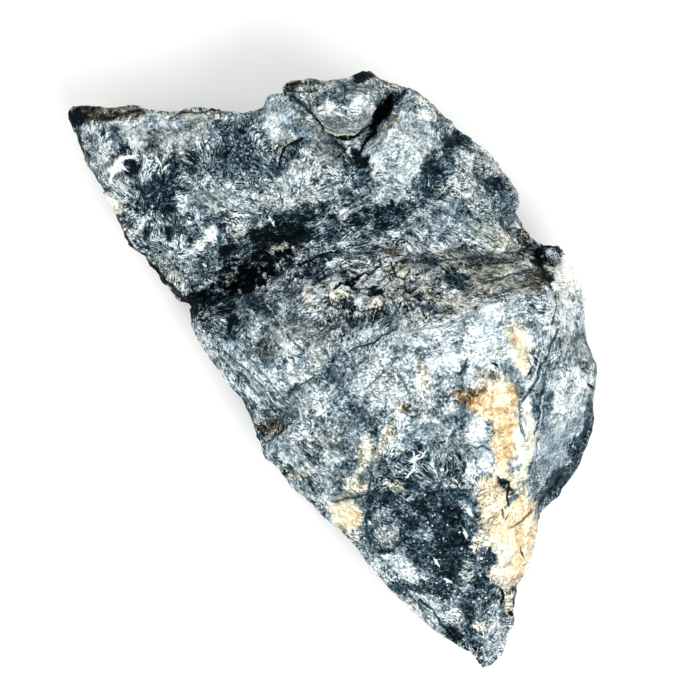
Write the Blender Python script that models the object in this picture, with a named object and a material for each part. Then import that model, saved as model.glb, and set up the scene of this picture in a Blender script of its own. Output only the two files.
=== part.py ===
"""One broken fragment of massive, fibrous rock, lying on its flattest face.

Lengths are in millimetres in this file and are turned to metres where the mesh is made.
X runs across the fragment, Y along it, and Z up from the flat face that it rests on.
"""

import bmesh
import bpy
from mathutils import Vector, noise
from mathutils.geometry import delaunay_2d_cdt, intersect_point_line

MILLIMETRE = 0.001

# Outer edge of the fragment seen from above, clockwise from its sharp upper left corner: x, y, height.
RIM = (
    (-37.0, 36.1, 11), (-36.4, 36.9, 12), (-33.6, 37.2, 14), (-31.9, 36.8, 15), (-27.6, 37.0, 17),
    (-25.8, 36.5, 18), (-22.4, 36.1, 19), (-19.7, 36.8, 19), (-18.3, 36.8, 19), (-15.0, 36.3, 20),
    (-12.3, 35.8, 21), (-9.7, 36.7, 22), (-9.1, 38.4, 22), (-6.9, 38.4, 24), (-7.0, 39.3, 25),
    (-6.4, 40.1, 26), (-4.5, 40.5, 27), (-2.9, 40.6, 27), (-0.8, 40.2, 27), (2.4, 40.7, 26),
    (4.2, 41.6, 25), (5.3, 41.6, 24), (7.1, 40.2, 23), (9.1, 39.9, 24), (11.8, 38.7, 24),
    (14.3, 36.6, 23), (16.7, 34.2, 22), (19.6, 32.1, 21), (21.6, 30.4, 20), (23.8, 27.9, 19),
    (25.9, 24.8, 19), (26.0, 23.2, 19), (25.1, 21.1, 19), (26.0, 19.9, 19), (27.4, 18.6, 18),
    (28.7, 17.6, 17.5), (31.5, 17.5, 17), (32.8, 15.5, 17), (34.9, 12.5, 17), (35.3, 10.7, 17),
    (35.0, 6.4, 16), (35.3, 4.2, 15), (36.7, 1.1, 14), (36.8, -0.3, 14), (36.3, -4.8, 13),
    (36.5, -6.7, 13), (35.8, -9.2, 12), (34.3, -13.4, 11), (31.3, -17.4, 10), (29.1, -19.5, 11),
    (28.6, -21.8, 14), (27.8, -25.6, 13), (27.4, -27.2, 12), (25.7, -29.8, 12), (25.3, -33.2, 11),
    (25.3, -35.0, 10), (24.5, -37.2, 9), (23.8, -39.6, 8), (21.1, -41.7, 8), (20.2, -40.5, 8),
    (18.3, -37.9, 9), (17.2, -38.1, 8), (15.3, -36.8, 9), (12.0, -34.3, 10), (8.1, -30.6, 11),
    (4.8, -26.7, 12), (3.4, -24.6, 12), (0.1, -21.2, 13), (-2.2, -19.2, 13), (-5.7, -16.2, 13),
    (-7.2, -14.2, 12), (-9.1, -12.2, 12), (-10.2, -9.9, 12), (-11.1, -7.4, 13), (-12.4, -4.1, 13),
    (-14.6, -1.5, 12), (-17.8, 2.7, 11), (-19.7, 6.2, 10), (-19.9, 9.1, 7), (-21.4, 9.7, 8),
    (-24.4, 13.3, 10), (-26.4, 15.8, 11), (-28.1, 17.0, 11), (-29.5, 19.5, 11), (-30.7, 22.5, 11),
    (-32.2, 25.5, 11), (-34.3, 29.1, 11), (-35.6, 32.1, 11), (-35.8, 33.2, 11), (-36.9, 35.2, 11),
)

# Corners of the side wall under that edge, where it turns in towards the resting face.
BELLY = (
    (-35.5, 35.3, 7), (-27.0, 35.6, 9), (-18.0, 35.0, 11), (-9.5, 35.4, 11), (-4.0, 39.0, 15),
    (4.8, 40.7, 13), (12.0, 36.8, 12), (19.6, 30.0, 11), (24.8, 24.0, 9), (24.2, 20.0, 8),
    (31.2, 15.4, 7), (34.2, 9.0, 9), (36.0, 0.5, 8), (34.8, -8.0, 7), (30.0, -16.8, 5),
    (27.6, -22.5, 7), (24.6, -31.5, 6), (23.0, -38.6, 4.5), (20.8, -40.2, 4.5), (12.2, -33.2, 5),
    (4.4, -24.4, 7), (-5.0, -15.0, 6), (-9.6, -8.0, 7), (-17.2, 3.4, 5), (-19.8, 9.4, 4),
    (-27.2, 17.6, 6), (-31.6, 26.5, 7), (-34.8, 33.0, 6.5),
)

# Corners of the lower facets, between the side wall and the resting face.
UNDERCUT = (
    (-28.0, 31.0, 5), (-17.0, 31.5, 6), (-5.0, 34.0, 7.5), (7.0, 34.5, 7), (16.5, 28.0, 6),
    (21.0, 19.0, 5), (29.0, 10.0, 5.5), (31.5, -2.0, 5), (28.0, -12.5, 3.5), (23.5, -23.0, 4),
    (20.5, -34.5, 2.5), (12.5, -28.5, 3.5), (2.5, -17.5, 4.5), (-6.0, -6.0, 4.5), (-14.0, 6.0, 3.5),
    (-24.0, 19.5, 4),
)

# Corners of the flat cleavage face that the fragment rests on.
RESTING_FACE = (
    (-15.0, 21.5), (-5.0, 25.0), (6.0, 22.5), (12.0, 16.0), (21.5, 6.5), (23.5, -4.0), (20.5, -14.5),
    (18.0, -24.0), (12.5, -21.0), (5.0, -11.0), (-3.0, 0.5), (-9.5, 10.5), (-16.0, 16.5),
)

# Lines where the upper surface changes its slope.
TROUGH = (
    (-19.9, 9.1, 7), (-15.5, 11.1, 9.5), (-12.3, 13.2, 10), (-8.1, 15.0, 12), (-3.2, 15.0, 14.5),
    (2.4, 15.0, 17), (9.4, 15.0, 19.5), (17.2, 15.7, 21), (24.1, 15.5, 21.5), (29.8, 15.5, 18.5),
    (31.5, 17.5, 17),
)
BROW = (
    (-22.8, 16.0, 14.5), (-15.1, 18.8, 18), (-6.0, 23.0, 22.5), (5.2, 25.1, 27), (11.5, 23.7, 27.5),
    (17.1, 20.2, 25), (24.8, 18.1, 21.5),
)
LOWER_RIDGE = (
    (-18.6, 6.9, 12), (-13.0, 6.6, 16.5), (-6.0, 4.1, 21), (-0.4, 3.4, 24), (4.5, 5.0, 26.5),
    (9.4, 5.7, 28.5), (12.9, 6.6, 30), (19.9, 8.0, 31), (21.6, 10.1, 31), (29.7, 10.8, 28.5),
)
RIGHT_RIDGE = (
    (29.7, 10.8, 28.5), (30.7, 6.2, 29.5), (29.4, 3.4, 30), (28.8, 0.6, 29.5), (27.9, -2.2, 29),
    (26.9, -5.0, 28.5), (25.9, -7.1, 28), (27.6, -9.9, 25.5), (27.6, -14.1, 23), (27.6, -17.5, 20),
)
RIGHT_GROOVE = (
    (31.8, 4.8, 26.5), (30.5, 1.3, 25.5), (29.6, -4.3, 24), (29.6, -9.9, 21.5), (29.6, -14.5, 18),
)
SLOPE_LINES = (TROUGH, BROW, LOWER_RIDGE, RIGHT_RIDGE, RIGHT_GROOVE)

# Heights of the upper surface between those lines.
UPPER_SLAB = (
    (-34.5, 35.0, 14), (-31.5, 33.0, 17), (-33.0, 30.5, 14.5), (-27.0, 34.5, 19.5), (-28.5, 29.0, 18),
    (-22.0, 33.5, 21), (-22.5, 27.5, 20), (-16.5, 34.0, 22), (-15.5, 28.5, 23.5), (-11.0, 33.0, 24),
    (-9.0, 27.5, 25.5), (-26.0, 22.5, 17), (-20.5, 21.5, 19), (-14.0, 22.0, 21.5), (-7.5, 34.5, 25.5),
    (-3.0, 28.0, 27), (9.5, 31.5, 30), (14.0, 30.5, 29), (18.5, 27.0, 26.5), (22.5, 24.0, 22.5),
    (5.0, 28.0, 28.5), (16.0, 24.0, 27), (21.0, 21.0, 22.5),
)
TOP_BLOCK = (
    (1.0, 36.5, 31.5), (-3.0, 38.5, 29.5), (4.5, 38.5, 29.5), (4.2, 35.4, 30.5), (-1.5, 35.4, 30),
    (-2.5, 33.2, 26.5), (1.7, 31.4, 26.5), (5.2, 32.4, 27), (9.8, 37.0, 28), (8.6, 34.0, 29),
)
SHADED_WALL = (
    (-9.5, 9.5, 15.5), (-3.0, 9.5, 19), (5.0, 10.5, 22), (14.0, 11.5, 25), (22.0, 13.0, 25.5),
    (26.5, 12.8, 24.5),
)
LOWER_FACE = (
    (-16.0, 3.2, 14), (-12.0, 0.5, 17.5), (-7.0, -2.0, 20.5), (-8.0, -7.0, 17), (-2.0, -3.5, 22.5),
    (-3.5, -10.5, 19), (3.0, -8.0, 24), (0.5, -15.5, 18), (5.0, -1.5, 26), (9.5, -4.5, 26.5),
    (9.0, -12.5, 25), (6.0, -18.5, 20.5), (14.0, -1.0, 28.5), (14.5, -9.0, 27), (15.0, -17.0, 24),
    (11.0, -24.5, 18.5), (20.0, 2.0, 30.5), (20.5, -5.0, 29.5), (21.0, -12.0, 27.5), (21.5, -20.0, 23.5),
    (17.5, -26.5, 18.5), (24.5, -1.5, 30), (24.5, -14.5, 25.5), (24.0, -25.5, 18.5), (14.5, -31.5, 14.5),
    (20.0, -32.0, 15.5), (21.5, -37.0, 12.5), (17.5, -35.2, 12.5), (25.0, 6.0, 31),
)
RIGHT_LOBE = (
    (32.6, 13.5, 20), (33.3, 8.0, 22), (33.6, 3.5, 21.5), (34.2, -1.0, 20), (33.0, -5.0, 20.5),
    (33.2, -9.5, 17), (31.4, -13.5, 15),
)
SURFACE_POINTS = UPPER_SLAB + TOP_BLOCK + SHADED_WALL + LOWER_FACE + RIGHT_LOBE

# Cracks and clefts in the upper surface: the points of each, then its half width and its depth.
CRACK_TAPER = 1.3
CRACKS = {
    "top block seam": (((-6.4, 38.4), (-4.6, 36.3), (-2.5, 34.2), (1.7, 29.3)), 1.4, 1.8),
    "top cleft": (((8.4, 38.2), (7.4, 36.5), (6.3, 35.1), (5.5, 33.4)), 2.4, 5.0),
    "block lip": (((-1.1, 33.6), (1.7, 32.6), (4.1, 33.2)), 1.5, 2.0),
    "hollow": (((-14.5, 12.0), (-12.0, 13.5), (-8.5, 15.5)), 4.5, 3.0),
    "wall ledge": (((0.7, 13.9), (2.4, 12.7), (4.2, 11.6)), 1.4, 1.8),
    "pebble overhang": (((6.3, 17.2), (8.3, 16.1), (10.4, 15.4)), 1.5, 2.0),
    "trough crack": (((10.1, 15.0), (17.2, 15.8), (23.4, 15.5), (29.0, 16.7)), 1.2, 1.6),
    "right notch": (((28.8, 17.6), (30.4, 15.0), (31.2, 10.1)), 1.5, 2.6),
    "upper diagonal": (((-8.1, 28.1), (-3.9, 31.8)), 1.2, 1.2),
    "slash": (((-5.7, -3.2), (-2.4, -1.1)), 1.2, 1.2),
    "left cleft": (((-10.6, -9.6), (-9.4, -7.8), (-6.7, -6.4)), 2.0, 2.6),
    "cream crack": (((0.3, -17.6), (5.2, -17.6), (5.4, -23.2)), 1.2, 1.2),
    "tip notch": (((16.2, -35.6), (17.5, -37.6)), 1.3, 2.0),
}

# Longest edge of a triangle at the cracks, on the rest of the upper surface, and elsewhere.
FINE_EDGE = 1.4
FRONT_EDGE = 2.2
BACK_EDGE = 3.6
FINE_REACH = 0.8
REFINING_ROUNDS = 6

# Relief of the broken surface: broad lumps, tilted chips and shelly ledges.
LUMP_SIZE = 9.0
LUMP_HEIGHT = 0.9
LUMP_ROUGHNESS = 0.8
LUMP_STEP = 2.1
LUMP_LAYERS = 2
CHIP_SIZE = 5.0
CHIP_HEIGHT = 0.9
CHIP_STEP = 0.25
CHIP_SPREAD = 7.3
LEDGE_SIZE = 4.5
LEDGE_DEPTH = 0.8
LEDGE_RISE = Vector((0.35, 0.25, 0.9))
LEDGE_WANDER = 0.7
WALL_SWELL = 0.3

# The relief fades out towards the rim and towards the resting face.
RIM_MARGIN = 3.0
RIM_SHARE = 0.1
BASE_MARGIN = 4.0
FLAT_MARGIN = 0.001
SOFTENING_ROUNDS = 2
SOFTENING = 0.35

STONE_COLOUR = (0.21, 0.26, 0.30, 1.0)
STONE_ROUGHNESS = 0.5

RIM_LINE = [Vector(corner) for corner in (*RIM, RIM[0])]
CRACK_LINES = [([Vector(point) for point in line], *size) for line, *size in CRACKS.values()]


def add_loop(bm, corners):
    """Adds the points of a closed line, in order."""
    return [bm.verts.new(corner) for corner in corners]


def lace(bm, upper, lower):
    """Joins two closed lines of points with triangles, always across the shorter diagonal."""
    start = min(range(len(lower)), key=lambda i: (lower[i].co - upper[0].co).length)
    lower = lower[start:] + lower[:start]
    a, b = 0, 0
    while a < len(upper) or b < len(lower):
        here, there = upper[a % len(upper)], lower[b % len(lower)]
        next_here, next_there = upper[(a + 1) % len(upper)], lower[(b + 1) % len(lower)]
        along_upper = (next_here.co - there.co).length
        along_lower = (next_there.co - here.co).length
        if b >= len(lower) or (a < len(upper) and along_upper <= along_lower):
            bm.faces.new((here, next_here, there))
            a += 1
        else:
            bm.faces.new((here, next_there, there))
            b += 1


def add_upper_surface(bm, rim):
    """Covers the rim with triangles that keep every slope line as an edge."""
    points = [tuple(vert.co) for vert in rim]
    edges = [(i, (i + 1) % len(points)) for i in range(len(points))]
    for line in SLOPE_LINES:
        first = len(points)
        points += line
        edges += [(i, i + 1) for i in range(first, first + len(line) - 1)]
    points += SURFACE_POINTS
    flat = [Vector(point[:2]) for point in points]
    places, _, faces, origins, _, _ = delaunay_2d_cdt(flat, edges, [], 1, 0.01)
    verts = []
    for place, origin in zip(places, origins):
        source = origin[0]
        verts.append(rim[source] if source < len(rim) else bm.verts.new((*place, points[source][2])))
    for face in faces:
        bm.faces.new([verts[i] for i in face])


def line_distance(place, line):
    """Distance from a place to a line of points, all with two or all with three coordinates."""
    nearest = []
    for start, end in zip(line, line[1:]):
        share = intersect_point_line(place, start, end)[1]
        share = min(max(share, 0.0), 1.0)
        nearest.append((place - start.lerp(end, share)).length)
    return min(nearest)


def longest_edge_allowed(edge, on_front):
    """Triangles are small at the cracks, larger on the upper surface and largest elsewhere."""
    if not all(face[on_front] for face in edge.link_faces):
        return BACK_EDGE
    middle = (edge.verts[0].co + edge.verts[1].co).to_2d() / 2
    for line, half_width, _ in CRACK_LINES:
        if line_distance(middle, line) < half_width + FINE_REACH:
            return FINE_EDGE
    return FRONT_EDGE


def on_base(vert):
    """Whether a point is part of the resting face."""
    return vert.co.z < FLAT_MARGIN


def refine(bm, on_front):
    """Splits long edges until every triangle is small enough to carry the relief."""
    for _ in range(REFINING_ROUNDS):
        long_edges = []
        for edge in bm.edges:
            if all(on_base(vert) for vert in edge.verts):
                continue
            if edge.calc_length() > longest_edge_allowed(edge, on_front):
                long_edges.append(edge)
        bmesh.ops.subdivide_edges(bm, edges=long_edges, cuts=1)
        bmesh.ops.triangulate(bm, faces=[face for face in bm.faces if len(face.verts) > 3])
        front = [face for face in bm.faces if face[on_front]]
        inner = [edge for edge in bm.edges if all(face[on_front] for face in edge.link_faces)]
        bmesh.ops.beautify_fill(bm, faces=front, edges=inner)


def lumps(place):
    """Broad swellings and hollows."""
    return LUMP_HEIGHT * noise.fractal(place / LUMP_SIZE, LUMP_ROUGHNESS, LUMP_STEP, LUMP_LAYERS)


def chips(place):
    """Small flat breaks, each tilted its own way."""
    scaled = place / CHIP_SIZE
    centre = noise.voronoi(scaled)[1][0]
    tilt = 2 * noise.cell_vector(centre * CHIP_SPREAD) - Vector((1, 1, 1))
    return CHIP_HEIGHT * (tilt.dot(scaled - centre) + CHIP_STEP * tilt.x)


def ledges(place):
    """Steps that climb the side walls, as the rock splits along its layers."""
    climb = place.dot(LEDGE_RISE) / LEDGE_SIZE + LEDGE_WANDER * noise.noise(place / LUMP_SIZE)
    return -LEDGE_DEPTH * (climb % 1.0)


def crack_depth(place):
    """How far the cracks cut into the upper surface at a place."""
    deepest = 0.0
    for line, half_width, depth in CRACK_LINES:
        share = line_distance(place.to_2d(), line) / half_width
        if share < 1.0:
            deepest = max(deepest, depth * (1.0 - share) ** CRACK_TAPER)
    return deepest


def soften(bm, on_front):
    """Rounds the folds of the upper surface a little, and leaves its rim alone."""
    inner = [vert for vert in bm.verts if all(face[on_front] for face in vert.link_faces)]
    for _ in range(SOFTENING_ROUNDS):
        bmesh.ops.smooth_vert(
            bm, verts=inner, factor=SOFTENING, use_axis_x=True, use_axis_y=True, use_axis_z=True
        )


def relief_move(vert, on_front):
    """How one point moves: straight up or down on the upper surface, along its normal on the walls."""
    place = vert.co.copy()
    rough = lumps(place) + chips(place)
    from_rim = min(line_distance(place, RIM_LINE) / RIM_MARGIN, 1.0)
    share = RIM_SHARE + (1.0 - RIM_SHARE) * from_rim
    front_faces = sum(face[on_front] for face in vert.link_faces)
    if front_faces == len(vert.link_faces):
        return Vector((0, 0, share * (rough - crack_depth(place))))
    if front_faces:
        return Vector((0, 0, share * rough))
    above_base = min(place.z / BASE_MARGIN, 1.0)
    return vert.normal * share * above_base * min(rough + ledges(place), WALL_SWELL)


def add_relief(bm, on_front):
    """Gives the surface its lumps, chips, ledges and cracks, and keeps the outline and the base."""
    bm.normal_update()
    moves = [(vert, relief_move(vert, on_front)) for vert in bm.verts]
    for vert, move in moves:
        vert.co += move


def centre(bm):
    """Puts the middle of the outline over the origin."""
    xs = [vert.co.x for vert in bm.verts]
    ys = [vert.co.y for vert in bm.verts]
    middle = Vector((max(xs) + min(xs), max(ys) + min(ys), 0)) / 2
    bmesh.ops.translate(bm, verts=bm.verts[:], vec=-middle)


def mottled_stone():
    """Blue-grey stone with a faint gloss."""
    material = bpy.data.materials.new("mottled_stone")
    material.use_nodes = True
    shader = material.node_tree.nodes["Principled BSDF"]
    shader.inputs["Base Color"].default_value = STONE_COLOUR
    shader.inputs["Roughness"].default_value = STONE_ROUGHNESS
    shader.inputs["Metallic"].default_value = 0.0
    return material


def build_fragment():
    """Models the fragment as one closed mesh."""
    bm = bmesh.new()
    on_front = bm.faces.layers.int.new("front")
    rim = add_loop(bm, RIM)
    add_upper_surface(bm, rim)
    for face in bm.faces:
        face[on_front] = 1
    belly = add_loop(bm, BELLY)
    undercut = add_loop(bm, UNDERCUT)
    base = add_loop(bm, [(x, y, 0.0) for x, y in RESTING_FACE])
    lace(bm, rim, belly)
    lace(bm, belly, undercut)
    lace(bm, undercut, base)
    bm.faces.new(base)
    bmesh.ops.recalc_face_normals(bm, faces=bm.faces[:])
    bmesh.ops.triangulate(bm, faces=bm.faces[:])
    refine(bm, on_front)
    soften(bm, on_front)
    add_relief(bm, on_front)
    centre(bm)
    bmesh.ops.scale(bm, verts=bm.verts[:], vec=(MILLIMETRE, MILLIMETRE, MILLIMETRE))
    mesh = bpy.data.meshes.new("altaite_fragment")
    bm.to_mesh(mesh)
    bm.free()
    mesh.materials.append(mottled_stone())
    return mesh


for item in list(bpy.data.objects):
    bpy.data.objects.remove(item)
fragment = bpy.data.objects.new("altaite_fragment", build_fragment())
bpy.context.collection.objects.link(fragment)
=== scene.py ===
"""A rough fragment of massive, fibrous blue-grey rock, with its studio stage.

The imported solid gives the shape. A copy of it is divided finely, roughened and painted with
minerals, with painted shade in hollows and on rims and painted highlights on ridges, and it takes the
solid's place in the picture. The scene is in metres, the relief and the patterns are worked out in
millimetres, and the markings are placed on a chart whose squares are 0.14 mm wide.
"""

import functools
import math

import bmesh
import bpy
import numpy as np
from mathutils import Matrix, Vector, noise


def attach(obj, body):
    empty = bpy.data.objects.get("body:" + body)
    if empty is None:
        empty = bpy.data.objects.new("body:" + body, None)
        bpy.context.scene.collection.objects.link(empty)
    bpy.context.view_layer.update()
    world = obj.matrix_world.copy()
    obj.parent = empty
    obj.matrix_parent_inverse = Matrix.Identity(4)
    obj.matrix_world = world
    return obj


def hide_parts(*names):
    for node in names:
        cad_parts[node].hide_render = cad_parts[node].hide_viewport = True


bl_info = {
    "name": "Fibrous rock fragment",
    "version": (1, 0, 0),
    "blender": (4, 5, 0),
    "location": "View3D > Sidebar > Specimen",
    "description": "Models, colours and stages one fragment of fibrous rock",
    "category": "Object",
}

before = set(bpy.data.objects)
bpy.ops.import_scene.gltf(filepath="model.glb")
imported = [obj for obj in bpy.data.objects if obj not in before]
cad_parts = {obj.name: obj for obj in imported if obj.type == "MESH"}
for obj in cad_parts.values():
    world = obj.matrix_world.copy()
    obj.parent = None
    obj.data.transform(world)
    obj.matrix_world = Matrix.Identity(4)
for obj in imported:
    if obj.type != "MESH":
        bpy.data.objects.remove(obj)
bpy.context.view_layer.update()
NODE = "altaite_fragment"
PIECE = "fibrous_fragment"
MM = 0.001

# The chart that the markings are placed on: the width of a square in millimetres, and the place of
# the fragment's origin in squares across and down from the upper left corner.
CHART_SQUARE = 0.14
CHART_ORIGIN = (333, 369)

# The part of the chart that fills the picture: its width and its middle.
PICTURE_WIDTH = 695
PICTURE_MIDDLE = (351, 347)

# Longest edge of the mesh before every edge is halved twice, and the area of the slivers whose edges
# aren't cut.
LONGEST_EDGE = 2.8 * MM
SLIVER_AREA = 0.001 * MM * MM

# The markings fade out where the normal's rise falls from -0.15 to -0.45, towards the underside.
UNDERSIDE_RISE = -0.45
UNDERSIDE_BLEND = 0.3

# Wandering of the fans and of the patches' edges: width of the waves and their reach, in
# millimetres, and a shift that sets them apart.
FAN_WANDER = (4.0, 1.2, 31.0)
PATCH_WANDERS = ((3.0, 0.9, 11.0), (1.1, 0.6, 17.0), (0.45, 0.4, 23.0))

# A patch is full up to 0.8 of its size, and gone at 1.2 of it.
PATCH_END = 1.2
PATCH_FADE = 0.4

# A line is full up to this many millimetres to its side, and gone at twice as many.
LINE_REACH = 0.35

# A groove is at its full depth up to 0.12 mm to its side, and ends at 0.42 mm.
GROOVE_FADE = 0.3
GROOVE_END = 1.4

# A place further than this many reaches from each fan lies in a wild fan, which no list places:
# those are on the sides and the underside, and this many millimetres wide.
FAN_END = 1.5
WILD_FAN = 9.0

# Waves of the fibre bundles over a fan, how far from the root they spread, and waves along them.
BUNDLE_WAVES = 7.0
ROOT_WIDTH = 0.8
LENGTH_WAVES = 0.3

# The relief is full where the normal's rise is over 0.6, and keeps these shares of its height on steep
# sides and on smooth fabrics. Lumps add to the splinters, and the relief grows from the floor over
# this many millimetres.
FULL_RISE = 0.6
STEEP_SHARE = 0.35
SMOOTH_SHARE = 0.35
LUMP_GAIN = 1.8
FLOOR_FADE = 1.5

# Painted highlight and shade: crests are painted lighter and hollows darker. Rounds of smoothing that
# they are measured against, the largest height that counts, in millimetres, and the tone that a
# millimetre gives.
FINE_ROUNDS, FINE_LIMIT, FINE_PAINTED_SHADING = 4, 0.15, 0.6
BROAD_ROUNDS, BROAD_LIMIT, BROAD_PAINTED_SHADING = 40, 0.4, 0.25

# Needles of the rock: width of a bundle, width and length of a needle, in millimetres, and how far a
# bundle leans out of its fan. Real ones are down to 0.05 mm wide, and are drawn coarser to show.
LONG_NEEDLES = (4.0, 0.16, 5.3, 0.35)
SHORT_NEEDLES = (2.1, 0.14, 2.5, 0.75)
SPLINTERS = (3.0, 0.50, 2.2, 0.7)

# Stage, in metres: the floor, the place and the width of each soft light, and the height of the
# fragment's rim, which the picture shows at its true width. The sensor's width is in millimetres.
FLOOR_WIDTH = 3.0
KEY_PLACE, KEY_WIDTH = (0.32, -0.30, 0.62), 0.5
FILL_PLACE, FILL_WIDTH = (-0.45, 0.25, 0.60), 0.6
RIM_HEIGHT = 14 * MM
SENSOR_WIDTH = 36.0

# Minerals of the rock: tone from black to white, warmth from blue to cream, and iron stain. The same
# colours also paint shade and light: dark ones are painted shade on rims, at the foot of steps and in
# the hollow, and light ones are painted highlights along ridges.
MINERALS_AND_SHADING = {
    "black": (-0.24, 0.2, 0.0),
    "ink": (0.13, 0.0, 0.0),
    "navy": (0.24, 0.0, 0.0),
    "dusk": (0.35, 0.0, 0.0),
    "slate": (0.47, 0.0, 0.0),
    "lavender": (0.62, 0.0, 0.0),
    "grey": (0.57, 0.3, 0.0),
    "warm grey": (0.60, 0.6, 0.0),
    "sage": (0.60, 0.28, 0.0),
    "pale": (0.67, 0.1, 0.0),
    "frost": (0.77, 0.1, 0.0),
    "white": (0.82, 0.15, 0.0),
    "bright": (0.97, 0.45, 0.0),
    "cream": (0.80, 0.8, 0.0),
    "buff": (0.74, 0.95, 0.3),
    "sand": (0.83, 1.0, 0.5),
    "tan": (0.81, 1.0, 0.68),
    "rust": (0.55, 0.9, 1.0),
    "olive": (0.42, 0.9, 0.3),
    "umber": (0.20, 0.8, 0.0),
    "brown": (0.45, 0.75, 0.0),
}

# The mineral between the patches, and all over the sides and the underside.
GROUND = (0.48, 0.1, 0.0)

# Fabrics of the rock: strength of the needles, the crystals, the white specks and the lumps.
FABRICS = {
    "needles": (0.96, 0.45, 0.0, 0.0),
    "felt": (0.55, 0.65, 0.0, 0.0),
    "smooth": (0.25, 0.75, 0.0, 0.0),
    "sugary": (0.35, 0.9, 0.0, 0.0),
    "specked": (0.25, 1.2, 1.0, 0.0),
    "chalky": (0.12, 0.5, 0.0, 0.0),
    "rubble": (0.9, 0.85, 0.0, 1.0),
}
FABRIC_PATCHES = (
    ("rubble", 355, 285, 66, 28, 6), ("rubble", 262, 266, 52, 26, 15),
    ("rubble", 420, 300, 34, 14, -15), ("smooth", 165, 130, 52, 20, 0), ("smooth", 222, 200, 26, 16, 0),
    ("felt", 285, 350, 70, 50, -45), ("felt", 510, 276, 45, 16, 0), ("felt", 330, 110, 60, 35, 0),
    ("felt", 400, 150, 48, 48, 0), ("smooth", 404, 150, 30, 34, 0), ("felt", 297, 190, 28, 28, 0),
    ("smooth", 280, 116, 20, 24, 0), ("smooth", 316, 140, 34, 12, -50), ("smooth", 385, 196, 13, 12, 0),
    ("smooth", 351, 143, 12, 6, -25), ("smooth", 114, 202, 13, 10, -60),
    ("chalky", 118, 166, 13, 8, 60), ("smooth", 214, 239, 14, 6, 20), ("felt", 490, 200, 40, 20, -40),
    ("felt", 466, 230, 52, 22, -25), ("sugary", 430, 385, 110, 62, 0), ("smooth", 508, 322, 36, 22, 0),
    ("sugary", 350, 450, 34, 60, 0), ("chalky", 348, 510, 22, 18, 0), ("specked", 430, 545, 72, 66, 0),
    ("smooth", 510, 440, 30, 140, 0), ("chalky", 571, 282, 19, 28, 0), ("specked", 485, 590, 22, 50, 0),
    ("smooth", 566, 420, 32, 64, 0), ("chalky", 558, 446, 16, 34, 0), ("specked", 578, 450, 26, 16, 60),
    ("felt", 565, 330, 24, 50, 0), ("chalky", 514, 535, 24, 46, 0), ("chalky", 504, 420, 16, 48, 0),
    ("chalky", 523, 434, 9, 44, 0), ("chalky", 519, 346, 12, 22, 0), ("smooth", 284, 448, 22, 14, -30),
    ("smooth", 480, 436, 20, 26, 0),
)

# Patches of those minerals, painted in this order: mineral, chart place, half length, half width
# and the turn of the length from the across direction, in degrees towards the top. Some of them are
# painted shade or painted highlights, as noted where they stand.
UPPER_SLAB_PATCHES = (
    ("dusk", 205, 200, 90, 60, 0), ("grey", 165, 130, 58, 22, -4), ("grey", 140, 127, 14, 10, 0),
    ("pale", 168, 121, 20, 7, 0), ("grey", 207, 130, 15, 13, 0), ("sage", 178, 147, 18, 7, -5),
    ("pale", 95, 142, 26, 11, -65), ("bright", 118, 167, 9, 4, 65), ("navy", 86, 152, 28, 3, -68),
    # Umber at (83, 112) and (118, 111), black at (77, 116) and brown at (204, 110) are painted shade on
    # the top rim, which faces away from the light.
    ("umber", 83, 112, 15, 8, -12), ("black", 77, 116, 9, 7, 0), ("umber", 118, 111, 32, 7, -3),
    ("brown", 204, 110, 26, 3, 0), ("white", 136, 138, 18, 4, -80), ("navy", 119, 133, 10, 6, -70),
    ("navy", 128, 148, 9, 5, -60), ("dusk", 160, 172, 28, 20, 0), ("dusk", 156, 200, 30, 26, 0),
    ("navy", 160, 203, 22, 22, 0), ("dusk", 197, 172, 26, 14, 0), ("ink", 160, 202, 25, 18, 75),
    ("black", 133, 166, 8, 6, 0), ("grey", 165, 160, 10, 6, 85), ("pale", 117, 184, 13, 7, -20),
    ("cream", 114, 202, 13, 8, -60), ("bright", 112, 200, 8, 5, -60), ("navy", 136, 212, 15, 13, 60),
    ("slate", 190, 198, 14, 12, 0), ("dusk", 232, 150, 28, 28, 0), ("navy", 236, 146, 18, 12, 30),
    ("navy", 262, 166, 26, 9, -12), ("slate", 222, 198, 34, 24, -10), ("grey", 224, 197, 24, 15, -10),
    ("pale", 228, 190, 18, 10, -45), ("white", 234, 184, 8, 3, -45), ("slate", 200, 226, 17, 8, 0),
    ("slate", 150, 228, 22, 13, -30), ("white", 149, 220, 10, 4, 50), ("white", 134, 229, 6, 4, 0),
    ("black", 147, 237, 6, 4, 40), ("white", 163, 235, 8, 4, 30), ("white", 168, 222, 8, 3, -10),
    ("black", 171, 231, 5, 4, 40), ("slate", 181, 256, 22, 20, 0), ("grey", 172, 272, 20, 8, -60),
    # Black at (229, 246) and (240, 262) is dark mineral with painted shade of the hollow over it.
    ("dusk", 215, 262, 20, 14, 0), ("black", 229, 246, 11, 7, 20), ("white", 210, 239, 13, 5, 25),
    ("bright", 209, 240, 9, 4, 25), ("grey", 246, 226, 16, 10, 0), ("slate", 264, 216, 14, 9, 20),
    ("black", 240, 262, 10, 7, 20),
)
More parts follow.
